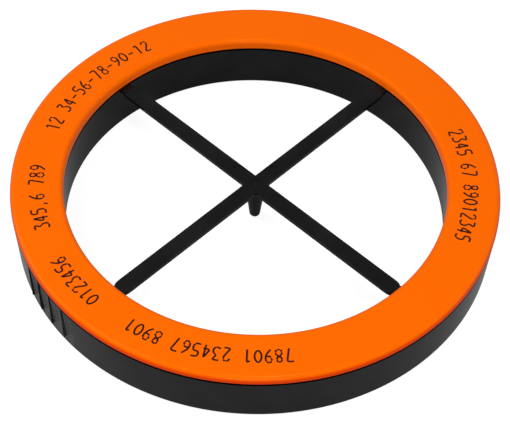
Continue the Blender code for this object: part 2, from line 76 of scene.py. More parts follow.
def named(name):
    piece = bpy.context.active_object  # the primitive that was just added
    piece.name = name
    piece.data.name = name
    bpy.ops.object.transform_apply(location=True, rotation=True, scale=True)
    return piece


def pick(piece, kind, test):
    # goes into edit mode with just those parts selected whose place passes the test
    activate(piece)
    mesh = piece.data
    for part in (*mesh.vertices, *mesh.edges, *mesh.polygons):
        part.select = False
    if kind == "FACE":
        for face in mesh.polygons:
            face.select = test(face.center, face.normal)
    elif kind == "EDGE":
        for edge in mesh.edges:
            edge.select = all(test(mesh.vertices[i].co) for i in edge.vertices)
    else:
        for vertex in mesh.vertices:
            vertex.select = test(vertex.co)
    bpy.context.tool_settings.mesh_select_mode = (kind == "VERT", kind == "EDGE", kind == "FACE")
    bpy.ops.object.mode_set(mode="EDIT")


def pickAll(piece):
    activate(piece)
    bpy.context.tool_settings.mesh_select_mode = (True, False, False)
    bpy.ops.object.mode_set(mode="EDIT")
    bpy.ops.mesh.select_all(action="SELECT")


def roundEdges(piece, test, width, segments):
    pick(piece, "EDGE", test)
    bpy.ops.mesh.bevel(offset=width, segments=segments, affect="EDGES")
    leaveEdit()


def finishWith(piece, name, kind, settings):
    # a modifier that is applied at once
    activate(piece)
    change = piece.modifiers.new(name, kind)
    for key, value in settings.items():
        setattr(change, key, value)
    bpy.ops.object.modifier_apply(modifier=change.name)


def volume(piece):
    shape = bmesh.new()
    shape.from_mesh(piece.data)
    amount = shape.calc_volume()
    shape.free()
    return amount


def combine(piece, tool, operation):
    # a Boolean, after which the tool goes. Now and then the solver drops the piece, which
    # the volume shows, and then the same step is made again.
    start = piece.data.copy()
    least = volume(piece) * workshop["leastLeft"]
    for attempt in range(workshop["attempts"]):
        finishWith(piece, tool.name, "BOOLEAN", {
            "operation": operation, "solver": "EXACT", "object": tool})
        if volume(piece) > least:
            break
        print("cable marker: made again,", tool.name)
        piece.data = start.copy()
    else:
        raise RuntimeError(f"{tool.name} can't be combined")
    bpy.data.objects.remove(tool, do_unlink=True)
    bpy.data.meshes.remove(start)


def turnAbout(angleDeg):
    # about the ring's axis
    return Matrix.Rotation(math.radians(angleDeg), 4, "Z")


def addCopy(name, mesh, placing=None):
    # a new piece with its own copy of a mesh, and its place kept in that copy
    copy = bpy.data.objects.new(name, mesh.copy())
    bpy.context.scene.collection.objects.link(copy)
    if placing is not None:
        copy.data.transform(placing)
    return copy


def joinInto(piece, others):
    activate(piece)
    for other in others:
        other.select_set(True)
    bpy.ops.object.join()
    return piece


def copiesRound(piece, anglesDeg):
    # copies of a piece about the ring's axis, joined into it
    others = [addCopy(piece.name, piece.data, turnAbout(angle)) for angle in anglesDeg[1:]]
    piece.data.transform(turnAbout(anglesDeg[0]))
    return joinInto(piece, others)


def box(name, low, high):
    startFresh()
    middle = (Vector(low) + Vector(high)) / 2
    bpy.ops.mesh.primitive_cube_add(size=1, location=middle, scale=Vector(high) - Vector(low))
    return named(name)


def turnedRing(name, outline, steps):
    # a circle, extruded and scaled from point to point of a closed outline of (radius, height)
    startFresh()
    radius, height = outline[0]
    bpy.ops.mesh.primitive_circle_add(vertices=steps, radius=radius, location=(0, 0, height))
    ring = named(name)
    pickAll(ring)
    for newRadius, newHeight in outline[1:] + outline[:1]:
        bpy.ops.mesh.extrude_edges_move(
            TRANSFORM_OT_translate={"value": (0, 0, newHeight - height)})
        grow = newRadius / radius
        bpy.ops.transform.resize(value=(grow, grow, 1), center_override=(0, 0, newHeight))
        radius, height = newRadius, newHeight
    bpy.ops.mesh.select_all(action="SELECT")
    bpy.ops.mesh.remove_doubles(threshold=workshop["mergeWithin"])
    bpy.ops.mesh.normals_make_consistent(inside=False)
    leaveEdit()
    return ring


def onCircle(radius, height):
    # a test for the vertices of one edge loop of a ring
    near = workshop["findWithin"]
    return lambda spot: (abs(math.hypot(spot.x, spot.y) - radius) < near
                         and abs(spot.z - height) < near)


def smooth(piece, angleDeg, onRidge=None):
    # shades it smooth below the angle, with a ridge kept sharp and broad faces kept flat
    activate(piece)
    bpy.ops.object.shade_smooth_by_angle(angle=math.radians(angleDeg))
    if onRidge:
        pick(piece, "EDGE", onRidge)
        bpy.ops.mesh.mark_sharp()
        leaveEdit()
    finishWith(piece, "broadFaces", "WEIGHTED_NORMAL", {"keep_sharp": True})


def dress(piece, material, slotName, *nodes):
    piece.data.materials.clear()
    piece.data.materials.append(material)
    if nodes:
        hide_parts(*nodes)
    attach(piece, "root")


# Node boards

class Flow:
    # a shader socket that takes part in sums
    def __init__(self, board, socket):
        self.board = board
        self.socket = socket

    def sum(self, operation, first, second):
        return self.board.add("ShaderNodeMath", {"operation": operation}, {0: first, 1: second})

    def __add__(self, other):
        return self.sum("ADD", self, other)

    def __radd__(self, other):
        return self.sum("ADD", other, self)

    def __mul__(self, other):
        return self.sum("MULTIPLY", self, other)

    def __rmul__(self, other):
        return self.sum("MULTIPLY", other, self)

    def __gt__(self, other):
        return self.sum("GREATER_THAN", self, other)

    def __lt__(self, other):
        return self.sum("LESS_THAN", self, other)

    def __or__(self, other):
        return self.sum("MAXIMUM", self, other)

    def __and__(self, other):
        return self.sum("MINIMUM", self, other)


class Board:
    # the nodes of one material or world
    def __init__(self, owner):
        owner.use_nodes = True
        self.tree = owner.node_tree
        self.tree.nodes.clear()

    def add(self, kind, settings=None, inputs=None, output=0):
        node = self.tree.nodes.new(kind)
        for key, value in (settings or {}).items():
            setattr(node, key, value)
        for key, value in (inputs or {}).items():
            if isinstance(value, Flow):
                self.tree.links.new(value.socket, node.inputs[key])
            else:
                node.inputs[key].default_value = value
        return Flow(self, node.outputs[output]) if node.outputs else None

    def place(self):
        return self.add("ShaderNodeTexCoord", output="Object")

    def radius(self, place):
        flat = self.add("ShaderNodeVectorMath", {"operation": "MULTIPLY"}, {
            0: place, 1: (1.0, 1.0, 0.0)})
        return self.add("ShaderNodeVectorMath", {"operation": "LENGTH"}, {0: flat}, "Value")

    def turnDeg(self, place):
        # the angle about the ring's axis, from 180 to 540, so it has no jump on the grips' side
        across, along = (self.add("ShaderNodeSeparateXYZ", None, {"Vector": place}, axis)
                         for axis in ("X", "Y"))
        return along.sum("ARCTAN2", along, across) * math.degrees(1) + 360.0

    def noise(self, where, scale, detail):
        return self.add("ShaderNodeTexNoise", None, {
            "Vector": where, "Scale": scale, "Detail": detail}, "Fac")

    def spread(self, value, low, high, newLow=0.0, newHigh=1.0):
        return self.add("ShaderNodeMapRange", None, {
            "Value": value, "From Min": low, "From Max": high, "To Min": newLow,
            "To Max": newHigh}, "Result")

    def blend(self, factor, first, second):
        return self.add("ShaderNodeMix", {"data_type": "RGBA"}, {
            0: factor, 6: first, 7: second}, 2)

    def bump(self, height, strength, distance, under=None):
        inputs = {"Strength": strength, "Distance": distance, "Height": height}
        if under:
            inputs["Normal"] = under
        return self.add("ShaderNodeBump", None, inputs, "Normal")

    def seenShare(self, mirrorShare):
        # 1 where the camera looks, also through clear things, and less in reflections
        path = {name: self.add("ShaderNodeLightPath", output=name)
                for name in ("Is Camera Ray", "Is Glossy Ray", "Is Transmission Ray")}
        straight = path["Is Camera Ray"] | path["Is Transmission Ray"]
        return straight | path["Is Glossy Ray"] * mirrorShare

    def finish(self, inputs):
        shader = self.add("ShaderNodeBsdfPrincipled", None, inputs, "BSDF")
        self.add("ShaderNodeOutputMaterial", None, {"Surface": shader})


def newMaterial(name):
    material = bpy.data.materials.new(name)
    return material, Board(material)


def tint(red, green, blue):
    return (red, green, blue, 1.0)


orangeLook = {
    "colour": tint(1.0, 0.152, 0.0),
    "cloudColour": tint(1.0, 0.140, 0.0),
    "skirtShadeColour": tint(0.80, 0.055, 0.0),   # painted shade: the skirts get a deeper tone than the top, standing in for the less light they get
    "skirtShadeOuter": (0.1042, 0.1049),          # the radii over which that painted shade comes in
    "edgeInner": (0.0836, 0.0826),
    "edgeInnerShare": 0.12,
    "cloudScale": 24.0,
    "cloudDetail": 4.0,
    "cloudRange": (0.3, 0.7),               # the cloud's values between which roughness goes
    "roughness": (0.15, 0.20),
    "sheen": 0.10,                          # specular level
    "sheenTint": tint(1.0, 0.62, 0.22),
    "grainScale": 1900.0,
    "grainDetail": 1.0,
    "grainStrength": 0.35,
    "grainDepth": 0.00003,
    "waveScale": 55.0,
    "waveDetail": 0.0,
    "waveStrength": 0.12,
    "waveDepth": 0.0006,
}


def orangePlastic():
    material, board = newMaterial("orange_plastic")
    look = orangeLook
    place = board.place()
    cloud = board.noise(place, look["cloudScale"], look["cloudDetail"])
    grain = board.noise(place, look["grainScale"], look["grainDetail"])
    wave = board.noise(place, look["waveScale"], look["waveDetail"])
    ripple = board.bump(wave, look["waveStrength"], look["waveDepth"])
    radius = board.radius(place)
    # painted shade: a mask by radius that darkens the outer skirt and the hole's edge
    edge = board.spread(radius, *look["skirtShadeOuter"]) | board.spread(
        radius, *look["edgeInner"], 0.0, look["edgeInnerShare"])
    face = board.blend(cloud, look["colour"], look["cloudColour"])
    board.finish({
        # the painted shade on the skirts, blended over the top's colour
        "Base Color": board.blend(edge, face, look["skirtShadeColour"]),
        "Roughness": board.spread(cloud, *look["cloudRange"], *look["roughness"]),
        "Specular IOR Level": look["sheen"],
        "Specular Tint": look["sheenTint"],
        "Normal": board.bump(grain, look["grainStrength"], look["grainDepth"], ripple),
    })
    return material


crossLook = {
    "colour": tint(0.0050, 0.0050, 0.0053),
    "dustColour": tint(0.0105, 0.0105, 0.0110),
    "cloudScale": 60.0,
    "cloudDetail": 5.0,
    "cloudRange": (0.3, 0.7),
    "dustRange": (0.45, 0.75),              # the cloud's values between which dust comes in
    "roughness": (0.12, 0.18),
    "sheen": 0.14,
    "grainScale": 2300.0,
    "grainDetail": 1.0,
    "grainStrength": 0.4,
    "grainDepth": 0.00002,
}
housingLook = {
    **crossLook,
    "colour": tint(0.0090, 0.0090, 0.0094),
    "dustColour": tint(0.0140, 0.0140, 0.0145),
    "sheen": 0.13,
    "gripFromDeg": 205.6,                   # the finely streaked zone round the grip ribs
    "gripToDeg": 224.5,
    "streakColour": tint(0.060, 0.060, 0.064),
    "streaksPerDeg": 2.4,
    "streakDetail": 3.0,
    "streakRange": (0.45, 0.65),
    "streakDepth": 0.00030,
}


def blackPlastic(name, look):
    material, board = newMaterial(name)
    place = board.place()
    cloud = board.noise(place, look["cloudScale"], look["cloudDetail"])
    grain = board.noise(place, look["grainScale"], look["grainDetail"])
    normal = board.bump(grain, look["grainStrength"], look["grainDepth"])
    colour = board.blend(board.spread(cloud, *look["dustRange"]), look["colour"],
                         look["dustColour"])
    if "gripFromDeg" in look:
        turn = board.turnDeg(place)
        inZone = (turn > look["gripFromDeg"]) & (turn < look["gripToDeg"])
        streak = board.add("ShaderNodeTexNoise", {"noise_dimensions": "1D"}, {
            "W": turn * look["streaksPerDeg"], "Scale": 1.0,
            "Detail": look["streakDetail"]}, "Fac")
        normal = board.bump(streak * inZone, 1.0, look["streakDepth"], normal)
        colour = board.blend(board.spread(streak, *look["streakRange"]) * inZone, colour,
                             look["streakColour"])
    board.finish({
        "Base Color": colour,
        "Roughness": board.spread(cloud, *look["cloudRange"], *look["roughness"]),
        "Specular IOR Level": look["sheen"],
        "Normal": normal,
    })
    return material


inkLook = {
    "colour": tint(0.022, 0.0040, 0.0008),
    "thinColour": tint(0.070, 0.012, 0.001),
    "patchScale": 900.0,
    "patchDetail": 3.0,
    "thinRange": (0.5, 0.8),                # the patches' values between which it thins
    "roughRange": (0.2, 0.8),
    "roughness": (0.55, 0.70),
    "sheen": 0.15,
}


def printInk():
    material, board = newMaterial("print_ink")
    look = inkLook
    patch = board.noise(board.place(), look["patchScale"], look["patchDetail"])
    board.finish({
        "Base Color": board.blend(board.spread(patch, *look["thinRange"]), look["colour"],
                                  look["thinColour"]),
        "Roughness": board.spread(patch, *look["roughRange"], *look["roughness"]),
        "Specular IOR Level": look["sheen"],
    })
    return material


plainLook = {
    "patchDetail": 3.0,
    "roughRange": (0.2, 0.8),
    "roughnessEitherWay": 0.06,
    "grainStrength": 0.4,
    "grainDepth": 0.00002,
}


def plainFinish(name, colour, otherColour, scale, roughness, metallic=0.0):
    # a finish for the hidden pieces: two near colours in fine patches over a light grain
    material, board = newMaterial(name)
    look = plainLook
    patch = board.noise(board.place(), scale, look["patchDetail"])
    board.finish({
        "Base Color": board.blend(patch, colour, otherColour),
        "Roughness": board.spread(patch, *look["roughRange"],
                                  roughness - look["roughnessEitherWay"],
                                  roughness + look["roughnessEitherWay"]),
        "Metallic": metallic,
        "Normal": board.bump(patch, look["grainStrength"], look["grainDepth"]),
    })
    return material


# The camera

cameraView = {
    "lens": 113.88,           # millimetres, as the sensor's width is
    "sensorWidth": 36,
    "distance": 0.7125,       # from the middle of the ring's underside
    "elevationDeg": 50.206,
    "azimuthDeg": -92.24,     # where the camera stands, from +X
    "rollDeg": 1.808,
    "sideways": 0.000185,     # from the line of sight through the middle
    "upwards": 0.001653,
    "nearest": 0.01,
    "farthest": 50,
}


def placeCamera():
    view = cameraView
    level = Euler((math.radians(90 - view["elevationDeg"]), 0,
                   math.radians(view["azimuthDeg"] + 90))).to_matrix()
    turned = level @ Matrix.Rotation(math.radians(view["rollDeg"]), 3, "Z")
    stand = level @ Vector((0, 0, view["distance"]))
    stand += turned @ Vector((view["sideways"], view["upwards"], 0))
    startFresh()
    bpy.ops.object.camera_add(location=stand, rotation=turned.to_euler())
    camera = bpy.context.active_object
    camera.name = "photo_camera"
    camera.data.sensor_width = view["sensorWidth"]
    camera.data.lens = view["lens"]
    camera.data.clip_start = view["nearest"]
    camera.data.clip_end = view["farthest"]
    bpy.context.scene.camera = camera


placeCamera()
print("cable marker: camera placed")


# Floor, background and lamps

studio = {
    "floorSize": 8.0,
    "floorDrop": 0.0001,      # keeps the floor off the faces that stand on it
    "floorColour": tint(0.33, 0.33, 0.33),
    "floorLift": 0.84,        # what is seen added to the lit floor
    "mirrorShare": 0.12,      # how much of the white background reflections show
    "white": tint(1.0, 1.0, 1.0),
    "backgroundLevel": 1.0,   # seen as white
    "domeLevel": 0.38,        # what lights the object from all round
    "lamps": {
        "key_lamp": {"spot": (-0.65, -0.10, 1.10), "size": 0.50, "watts": 3.4},
        "crest_lamp": {"spot": (0.10, -0.28, 1.25), "size": 0.20, "watts": 3.3},
        "front_lamp": {"spot": (0.0, -1.12, 0.45), "size": 0.50, "watts": 4.8},
        "left_lamp": {"spot": (-0.95, 0.15, 0.45), "size": 0.60, "watts": 2.6},
        "right_lamp": {"spot": (0.95, 0.10, 0.45), "size": 0.60, "watts": 1.3},
    },
}


def makeFloor():
    startFresh()
    bpy.ops.mesh.primitive_plane_add(size=studio["floorSize"],
                                     location=(0, 0, -studio["floorDrop"]))
    floor = named("studio_floor")
    material, board = newMaterial("pale_floor")
    seen = board.seenShare(studio["mirrorShare"])
    lit = board.add("ShaderNodeBsdfDiffuse", None, {"Color": studio["floorColour"]})
    glow = board.add("ShaderNodeEmission", None, {"Strength": seen * studio["floorLift"]})
    both = board.add("ShaderNodeAddShader", None, {0: lit, 1: glow})
    board.add("ShaderNodeOutputMaterial", None, {"Surface": both})
    floor.data.materials.append(material)


def makeWorld():
    world = bpy.data.worlds.new("studio_world")
    bpy.context.scene.world = world
    board = Board(world)
    seen = board.seenShare(studio["mirrorShare"])
    dome = board.add("ShaderNodeBackground", None, {
        "Color": studio["white"], "Strength": studio["domeLevel"]})
    white = board.add("ShaderNodeBackground", None, {
        "Color": studio["white"], "Strength": studio["backgroundLevel"]})
    mixed = board.add("ShaderNodeMixShader", None, {0: seen, 1: dome, 2: white})
    board.add("ShaderNodeOutputWorld", None, {"Surface": mixed})


def makeLamps():
    for name, lamp in studio["lamps"].items():
        startFresh()
        spot = Vector(lamp["spot"])
        bpy.ops.object.light_add(type="AREA", location=spot, rotation=(
            (-spot).to_track_quat("-Z", "Y").to_euler()))
        light = bpy.context.active_object
        light.name = name
        light.data.shape = "SQUARE"
        light.data.size = lamp["size"]
        light.data.energy = lamp["watts"]


makeFloor()
makeWorld()
makeLamps()
bpy.context.scene.view_settings.view_transform = "Standard"
print("cable marker: studio lit")


# The lid

lidShape = {
    "steps": 288,
    "bandWidth": 0.0226,      # from the outer edge to the hole
    "plate": 0.0022,          # the flat top's thickness
    "skirtWall": 0.0018,
    "outerSkirtDepth": 0.0033,
    "outerRound": 0.0026,
    "outerRoundSteps": 12,
    "innerRound": 0.0022,
    "innerRoundSteps": 9,
    "rimWall": 0.0014,        # of the two locating rims underneath
    "softEdge": 0.00025,
    "softEdgeSteps": 3,
    "smoothDeg": 40,
}
housingShape = {
    "steps": 288,
    "wall": 0.0028,
    "floor": 0.0024,
    "outerDraft": 0.0011,     # how far the wall leans in towards its foot
    "innerDraft": 0.0005,
    "shadowGap": 0.0010,      # from the lid's skirt down to the wall's upper edge
    "grooveDepth": 0.0030,    # how far the shoulder falls behind that edge
    "innerSetback": 0.0001,   # of the inner wall from the hole's radius
    "baseOuterRound": 0.0012,
    "baseOuterSteps": 8,
    "baseInnerRound": 0.0008,
    "baseInnerSteps": 5,
    "channelRound": 0.0010,
    "channelSteps": 4,
    "softEdge": 0.0002,
    "softEdgeSteps": 2,
    "smoothDeg": 40,
}
lidLow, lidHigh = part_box("lid")
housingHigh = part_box("housing")[1]
lidRadius, lidTop = lidHigh.x, lidHigh.z
holeRadius = lidRadius - lidShape["bandWidth"]
wallRadius = housingHigh.x
innerWallRadius = holeRadius + housingShape["innerSetback"]
outerStand = lidRadius - lidShape["skirtWall"] - workshop["clearance"]
innerStand = holeRadius + lidShape["skirtWall"] + workshop["clearance"]
channelOuter = wallRadius - housingShape["wall"]
channelInner = innerWallRadius + housingShape["wall"]


def makeLid(material):
    shape = lidShape
    gap = workshop["clearance"]
    underside = lidTop - shape["plate"]
    outerEdge = lidTop - shape["outerSkirtDepth"]
    innerEdge = lidLow.z
    outerBore = lidRadius - shape["skirtWall"]
    innerFace = holeRadius + shape["skirtWall"]
    outerRim = channelOuter - gap
    innerRim = channelInner + gap
    lid = turnedRing("lid_moulding", [
        (lidRadius, lidTop), (lidRadius, outerEdge), (outerBore, outerEdge),
        (outerBore, underside), (outerRim, underside), (outerRim, innerEdge),
        (outerRim - shape["rimWall"], innerEdge), (outerRim - shape["rimWall"], underside),
        (innerRim + shape["rimWall"], underside), (innerRim + shape["rimWall"], innerEdge),
        (innerRim, innerEdge), (innerRim, underside), (innerFace, underside),
        (innerFace, innerEdge), (holeRadius, innerEdge), (holeRadius, lidTop)], shape["steps"])
    roundEdges(lid, onCircle(lidRadius, lidTop), shape["outerRound"], shape["outerRoundSteps"])
    roundEdges(lid, onCircle(holeRadius, lidTop), shape["innerRound"], shape["innerRoundSteps"])
    for corner in ((lidRadius, outerEdge), (outerBore, outerEdge), (innerFace, innerEdge),
                   (holeRadius, innerEdge)):
        roundEdges(lid, onCircle(*corner), shape["softEdge"], shape["softEdgeSteps"])
    smooth(lid, shape["smoothDeg"])
    dress(lid, material, "orange_plastic", "lid")


# The housing

gripRibs = {
    "count": 4,
    "firstDeg": 206.5,
    "pitchDeg": 4.73,
    "radius": 0.00045,
    "sides": 24,              # of the bar that each rib is cut from
    "proud": 0.0003,          # beyond the wall's upper edge
    "foot": 0.0045,
    "lean": 0.0003,           # how far the feet follow the wall's draft
    "endRound": 0.0003,
    "endRoundSteps": 4,
}
saddles = {
    "count": 8,
    "width": 0.0020,
    "postWall": 0.0018,
    "postShortfall": 0.0010,  # below the coil's top
    "coilWidth": 0.0040,
}
boardGuides = {
    "leg": 0.0012,            # thickness beside the board
    "back": 0.0014,           # thickness behind its end
    "grip": 0.0022,           # how much of its length is held
    "height": 0.0090,
}
armShape = {
    "firstDeg": 45.0,
    "width": 0.0070,
    "thickness": 0.0020,
    "play": 0.0004,           # under the lid, past the clearance
    "tongueWidth": 0.0054,    # where an arm goes through the wall
    "headWidth": 0.0078,      # behind the wall
    "headLength": 0.0020,
    "shoulderLength": 0.0032,  # over which an arm narrows to its tongue
    "shoulderSteps": 6,
    "neckLength": 0.0026,     # of the tongue, inside the hole
    "hubFillet": 0.0003,
    "hubFilletSteps": 6,
    "crownHeight": 0.0006,
    "crownStart": 0.0165,
    "crownHip": 0.0030,       # the slope at each end of a crown
    "crownEndMargin": 0.0020,
    "ribWidth": 0.0016,
    "ribDepth": 0.0032,
    "ribEndDepth": 0.0012,
    "ribEndMargin": 0.0012,
    "smoothDeg": 30,
}
quarterTurns = [0, 90, 180, 270]
armTop = lidLow.z - workshop["clearance"] - armShape["play"]
armBottom = armTop - armShape["thickness"]
armAngles = [armShape["firstDeg"] + turn for turn in quarterTurns]
shoulderStart = innerWallRadius - armShape["neckLength"] - armShape["shoulderLength"]
crownEnd = shoulderStart - armShape["crownEndMargin"]
ridgeStart = armShape["crownStart"] + armShape["crownHip"]
ridgeEnd = crownEnd - armShape["crownHip"]


def gripRibTool(shoulder):
    # a bar in the wall, whose top falls inwards with the groove behind the lip
    startFresh()
    top = shoulder - workshop["clearance"]
    foot = gripRibs["foot"]
    crest = wallRadius + gripRibs["proud"]
    bpy.ops.mesh.primitive_cylinder_add(
        vertices=gripRibs["sides"], radius=gripRibs["radius"], depth=top - foot,
        location=(crest - gripRibs["radius"], 0, (top + foot) / 2))
    rib = named("grip_ribs")
    pickAll(rib)
    bpy.ops.mesh.bisect(
        plane_co=(crest, 0, top), plane_no=(-housingShape["grooveDepth"], 0,
                                            wallRadius - outerStand),
        use_fill=True, clear_outer=True)
    leaveEdit()

    def atFoot(spot):
        return abs(spot.z - foot) < workshop["findWithin"]

    pick(rib, "VERT", atFoot)
    bpy.ops.transform.translate(value=(-gripRibs["lean"], 0, 0))
    leaveEdit()
    roundEdges(rib, atFoot, gripRibs["endRound"], gripRibs["endRoundSteps"])
    return copiesRound(rib, [gripRibs["firstDeg"] + gripRibs["pitchDeg"] * i
                             for i in range(gripRibs["count"])])


def saddleTool():
    # a low web across the channel's floor, whose inner end rises to a post
    coilLow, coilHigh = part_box("coil")
    gap = workshop["clearance"]
    half = saddles["width"] / 2
    postFace = coilHigh.x - saddles["coilWidth"] - gap
    web = box("coil_saddles",
              (postFace - saddles["postWall"], -half, housingShape["floor"] - workshop["overrun"]),
              (channelOuter + workshop["overrun"], half, coilLow.z - gap))
    pickAll(web)
    bpy.ops.mesh.bisect(plane_co=(postFace, 0, 0), plane_no=(1, 0, 0))
    pick(web, "FACE", lambda spot, facing: (
        facing.z > workshop["facing"] and spot.x < postFace))
    rise = coilHigh.z - saddles["postShortfall"] - coilLow.z + gap
    bpy.ops.mesh.extrude_region_move(TRANSFORM_OT_translate={"value": (0, 0, rise)})
    leaveEdit()
    count = saddles["count"]
    return copiesRound(web, [360 / count * (i + 0.5) for i in range(count)])


def guideTool():
    # two upright channels that hold the board's ends
    boardLow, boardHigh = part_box("circuit_board")
    gap = workshop["clearance"]
    shape = boardGuides
    guides = []
    for side in (-1, 1):
        end = boardHigh.y if side > 0 else -boardLow.y
        mouth, back = end - shape["grip"], end + gap + shape["back"]
        span = sorted((side * mouth, side * back))
        low = housingShape["floor"] - workshop["overrun"]
        block = box("board_guides", (boardLow.x - gap - shape["leg"], span[0], low),
                    (boardHigh.x + gap + shape["leg"], span[1],
                     housingShape["floor"] + shape["height"]))
        slotSpan = sorted((side * (mouth - gap), side * (end + gap)))
        slot = box("board_slot", (boardLow.x - gap, slotSpan[0], housingShape["floor"]),
                   (boardHigh.x + gap, slotSpan[1], housingHigh.z))
        combine(block, slot, "DIFFERENCE")
        guides.append(block)
    return joinInto(guides[0], guides[1:])


def notchTool():
    half = armShape["tongueWidth"] / 2 + workshop["clearance"]
    notch = box("tongue_notches",
                (innerWallRadius - workshop["overrun"], -half, armBottom - workshop["clearance"]),
                (channelInner + workshop["overrun"], half, lidTop))
    return copiesRound(notch, armAngles)


def makeHousing(material):
    # behind each wall's upper lip the shoulder falls to a groove
    shape = housingShape
    outerShoulder = lidTop - lidShape["outerSkirtDepth"] - shape["shadowGap"]
    innerShoulder = lidLow.z - shape["shadowGap"]
    outerFoot = wallRadius - shape["outerDraft"]
    innerFoot = innerWallRadius + shape["innerDraft"]
    top = housingHigh.z
    housing = turnedRing("housing_moulding", [
        (outerStand, top), (outerStand, outerShoulder - shape["grooveDepth"]),
        (wallRadius, outerShoulder), (outerFoot, 0), (innerFoot, 0),
        (innerWallRadius, innerShoulder), (innerStand, innerShoulder - shape["grooveDepth"]),
        (innerStand, top), (channelInner, top),
        (channelInner, shape["floor"]), (channelOuter, shape["floor"]),
        (channelOuter, top)], shape["steps"])
    roundEdges(housing, onCircle(outerFoot, 0), shape["baseOuterRound"],
               shape["baseOuterSteps"])
    roundEdges(housing, onCircle(innerFoot, 0), shape["baseInnerRound"],
               shape["baseInnerSteps"])
    for radius in (channelInner, channelOuter):
        roundEdges(housing, onCircle(radius, shape["floor"]), shape["channelRound"],
                   shape["channelSteps"])
    for corner in ((wallRadius, outerShoulder), (innerWallRadius, innerShoulder)):
        roundEdges(housing, onCircle(*corner), shape["softEdge"], shape["softEdgeSteps"])
    combine(housing, saddleTool(), "UNION")
    combine(housing, guideTool(), "UNION")
    combine(housing, gripRibTool(outerShoulder), "UNION")
    combine(housing, notchTool(), "DIFFERENCE")
    smooth(housing, shape["smoothDeg"])
    dress(housing, material, "black_plastic", "housing")


# The cross

hubShape = {
    "markRadius": 0.0023,     # the four round ejector marks
    "markDepth": 0.0002,
    "markDistance": 0.0116,
    "markSides": 48,
    "recessRadius": 0.0027,
    "recessDepth": 0.00025,
    "recessSides": 64,
    "dimpleCones": [(0.0014, 0.0007), (0.0009, 0.0018)],  # radius and depth: the rim, the point
    "pegRoot": 0.0043,
    "pegTip": 0.0022,
    "pegSides": 96,
    "pegTipRound": 0.0019,
    "pegTipSteps": 10,
}


def disc(name, radius, spot, low, high, sides):
    startFresh()
    bpy.ops.mesh.primitive_cylinder_add(
        vertices=sides, radius=radius, depth=high - low,
        location=(spot[0], spot[1], (low + high) / 2))
    return named(name)


def armStations():
    # how far out, and how wide there, from the crown's start to the head's end
    shape = armShape
    stations = [(reach, shape["width"]) for reach in (
        shape["crownStart"], ridgeStart, ridgeEnd, crownEnd, shoulderStart)]
    taken = shape["width"] - shape["tongueWidth"]
    steps = shape["shoulderSteps"]
    for i in range(1, steps + 1):
        angle = math.radians(90 * i / steps)
        stations.append((shoulderStart + shape["shoulderLength"] * math.sin(angle),
                         shape["tongueWidth"] + taken * math.cos(angle)))
    headStart = channelInner + workshop["clearance"]
    return stations + [(headStart, shape["tongueWidth"]), (headStart, shape["headWidth"]),
                       (headStart + shape["headLength"], shape["headWidth"])]


def makeArms():
    # a square block, each of whose sides is drawn out into an arm
    shape = armShape
    half = shape["width"] / 2
    cross = box("cross_moulding", (-half, -half, armBottom), (half, half, armTop))
    middle = (armTop + armBottom) / 2
    near = workshop["findWithin"]
    for out in (Vector((1, 0, 0)), Vector((0, 1, 0)), Vector((-1, 0, 0)), Vector((0, -1, 0))):
        across = Vector((abs(out.y), abs(out.x), 0))
        pick(cross, "FACE", lambda spot, facing: (
            facing.dot(out) > workshop["facing"] and abs(spot.dot(across)) < near))
        reach, width = half, shape["width"]
        for newReach, newWidth in armStations():
            bpy.ops.mesh.extrude_region_move(
                TRANSFORM_OT_translate={"value": out * (newReach - reach)})
            grow = Vector((1, 1, 1)) + across * (newWidth / width - 1)
            bpy.ops.transform.resize(
                value=grow, center_override=out * newReach + Vector((0, 0, middle)))
            reach, width = newReach, newWidth
        leaveEdit()
    roundEdges(cross, lambda spot: (
        abs(abs(spot.x) - half) < near and abs(abs(spot.y) - half) < near),
               shape["hubFillet"], shape["hubFilletSteps"])
    return cross


def raiseCrowns(cross):
    # an edge along each arm's middle, lifted between the hips
    for facing in ((1, 0, 0), (0, 1, 0)):
        pickAll(cross)
        bpy.ops.mesh.bisect(plane_co=(0, 0, 0), plane_no=facing)
    near = workshop["findWithin"]

    def onRidge(spot):
        reach = max(abs(spot.x), abs(spot.y))
        return (min(abs(spot.x), abs(spot.y)) < near and spot.z > armTop - near
                and ridgeStart - near < reach < ridgeEnd + near)

    pick(cross, "VERT", onRidge)
    bpy.ops.transform.translate(value=(0, 0, armShape["crownHeight"]))
    leaveEdit()
    return onRidge


def ribTool():
    shape = armShape
    half = shape["ribWidth"] / 2
    end = shoulderStart - shape["ribEndMargin"]
    rib = box("arm_ribs", (hubShape["pegTip"], -half, armBottom - shape["ribDepth"]),
              (end, half, armBottom + workshop["overrun"]))
    pick(rib, "VERT", lambda spot: spot.x > end / 2 and spot.z < armBottom)
    bpy.ops.transform.translate(value=(0, 0, shape["ribDepth"] - shape["ribEndDepth"]))
    leaveEdit()
    return copiesRound(rib, quarterTurns)


def pegTool():
    shape = hubShape
    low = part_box("cross")[0].z
    high = armBottom + workshop["overrun"]
    startFresh()
    bpy.ops.mesh.primitive_cone_add(
        vertices=shape["pegSides"], radius1=shape["pegTip"], radius2=shape["pegRoot"],
        depth=high - low, location=(0, 0, (high + low) / 2))
    peg = named("centre_peg")
    roundEdges(peg, lambda spot: spot.z < low + workshop["findWithin"],
               shape["pegTipRound"], shape["pegTipSteps"])
    return peg


